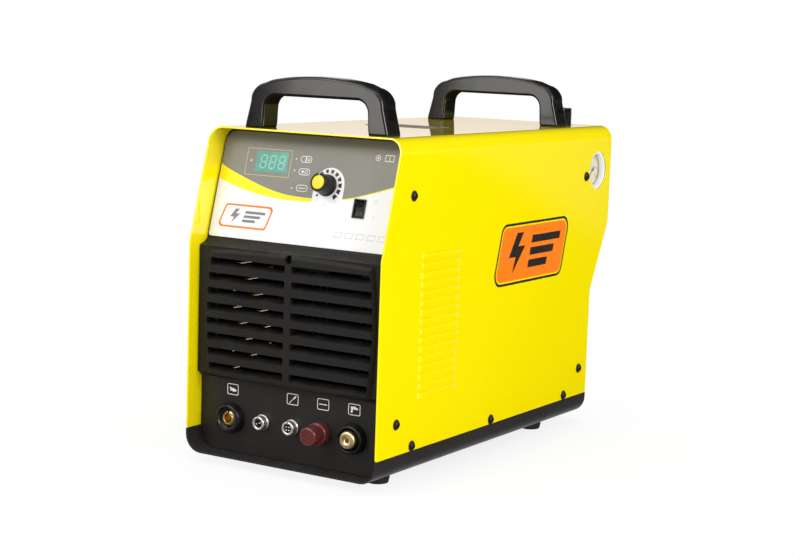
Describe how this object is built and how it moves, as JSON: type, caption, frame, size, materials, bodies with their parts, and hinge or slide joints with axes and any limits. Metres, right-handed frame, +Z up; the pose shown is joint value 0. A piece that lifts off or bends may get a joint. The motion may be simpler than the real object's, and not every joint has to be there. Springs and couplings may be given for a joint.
{
  "type": "plasma cutter",
  "caption": "Portable air plasma cutter: yellow hood on a black tray, two arched handles, leaned control panel, louvred intake grille, front sockets, rear fan, breaker and air regulator.",
  "frame": {"origin": "under the middle of the whole unit's bounding box, on the plane the rubber feet stand on", "axes": "+Z up, -Y out of the control panel, +X to the unit's right seen from the front (the gauge side)"},
  "size_m": [0.2592, 0.528, 0.4282],
  "materials": {
    "yellow_paint": "gloss",
    "black_paint": "satin",
    "black_plastic": "satin, lightly grained",
    "overlay_print": "printed film, grey, white and yellow",
    "display_green": "tinted window",
    "knob_yellow": "gloss",
    "rubber": "matte",
    "screw_black": "blackened",
    "brass": "turned",
    "chrome": "polished",
    "red_plastic": "dark red-brown",
    "white_plastic": "gloss",
    "clear_plastic": "clear",
    "bowl_plastic": "clear polycarbonate",
    "galvanised": "zinc plated",
    "aluminium": "extruded",
    "circuit_board": "solder mask",
    "copper_winding": "enamelled copper wire",
    "grey_plastic": "moulded",
    "wire_steel": "plated wire"
  },
  "bodies": {
    "enclosure": {"base_tray": "black_paint", "bowl_drain": "black_plastic", "breaker_body": "grey_plastic", "cable_gland": "black_plastic", "chassis_plate": "galvanised", "control_board": "circuit_board", "control_overlay": "overlay_print", "display_window": "display_green", "earth_socket_housing": "black_plastic", "earth_socket_insert": "brass", "fan_frame": "black_plastic", "fan_guard": "wire_steel", "foot_front_left": "rubber", "foot_front_right": "rubber", "foot_rear_left": "rubber", "foot_rear_right": "rubber", "front_grille": "black_plastic", "front_handle": "black_plastic", "front_panel": "black_plastic", "gas_solenoid": "black_plastic", "gauge_case": "white_plastic", "gauge_lens": "clear_plastic", "grille_screw": "screw_black", "heatsink_left": "aluminium", "heatsink_right": "aluminium", "housing_shell": "yellow_paint", "main_transformer": "grey_plastic", "output_reactor": "copper_winding", "pilot_terminal_base": "red_plastic", "potentiometer_body": "grey_plastic", "power_board": "circuit_board", "rear_handle": "black_plastic", "rear_panel": "black_paint", "regulator_body": "grey_plastic", "regulator_bowl": "bowl_plastic", "regulator_bracket": "galvanised", "side_screw_low_front_left": "screw_black", "side_screw_low_front_right": "screw_black", "side_screw_low_rear_left": "screw_black", "side_screw_low_rear_right": "screw_black", "side_screw_top_front_left": "screw_black", "side_screw_top_front_right": "screw_black", "side_screw_top_rear_left": "screw_black", "side_screw_top_rear_right": "screw_black", "signal_socket_2pin": "chrome", "signal_socket_4pin": "chrome", "switch_bezel": "black_plastic", "torch_socket_core": "brass", "torch_socket_housing": "black_plastic"},
    "current_knob": {"current_knob": "black_plastic", "current_knob_cap": "knob_yellow", "potentiometer_shaft": "aluminium"},
    "switch_rocker": {"switch_rocker": "black_plastic"},
    "pilot_sleeve": {"pilot_terminal_insert": "brass"},
    "pilot_cap": {"pilot_terminal_cap": "red_plastic"},
    "regulator_spindle": {"regulator_spindle": "brass"},
    "regulator_knob": {"regulator_knob": "black_plastic"},
    "gauge_needle": {"gauge_needle": "black_plastic"},
    "fan_rotor": {"fan_rotor": "black_plastic"},
    "breaker_lever": {"breaker_lever": "black_plastic"}
  },
  "joints": [
    {"name": "current_knob_turn", "type": "hinge", "parent": "enclosure", "child": "current_knob", "pos_m": [0.024, -0.21481, 0.3137], "axis": [0, -0.9649, 0.2625], "range_deg": [-135, 135]},
    {"name": "power_switch_rock", "type": "hinge", "parent": "enclosure", "child": "switch_rocker", "pos_m": [0.0693, -0.21894, 0.29244], "axis": [1, 0, 0], "range_deg": [-20, 0]},
    {"name": "pilot_cap_travel", "type": "slide", "parent": "enclosure", "child": "pilot_sleeve", "axis": [0, -1, 0], "range_m": [0, 0.0046]},
    {"name": "pilot_cap_turn", "type": "hinge", "parent": "pilot_sleeve", "child": "pilot_cap", "pos_m": [0.04, -0.261, 0.051], "axis": [0, -1, 0], "range_deg": [0, 1080]},
    {"name": "regulator_adjust_turn", "type": "hinge", "parent": "enclosure", "child": "regulator_spindle", "pos_m": [0.068, 0.2285, 0.36], "axis": [0, 0, 1], "range_deg": [-720, 720]},
    {"name": "regulator_knob_unlock", "type": "slide", "parent": "regulator_spindle", "child": "regulator_knob", "axis": [0, 0, 1], "range_m": [0, 0.005]},
    {"name": "gauge_needle_sweep", "type": "hinge", "parent": "enclosure", "child": "gauge_needle", "pos_m": [0.119, 0.2285, 0.3165], "axis": [-1, 0, 0], "range_deg": [0, 270]},
    {"name": "fan_spin", "type": "hinge", "parent": "enclosure", "child": "fan_rotor", "pos_m": [0, 0.182, 0.118], "axis": [0, 1, 0], "continuous": true},
    {"name": "breaker_lever_throw", "type": "hinge", "parent": "enclosure", "child": "breaker_lever", "pos_m": [-0.055, 0.201, 0.3], "axis": [1, 0, 0], "range_deg": [0, 76]}
  ],
  "couplings": [
    {"joint": "pilot_cap_travel", "follows": "pilot_cap_turn", "m_per_rad": 0.00023873}
  ]
}
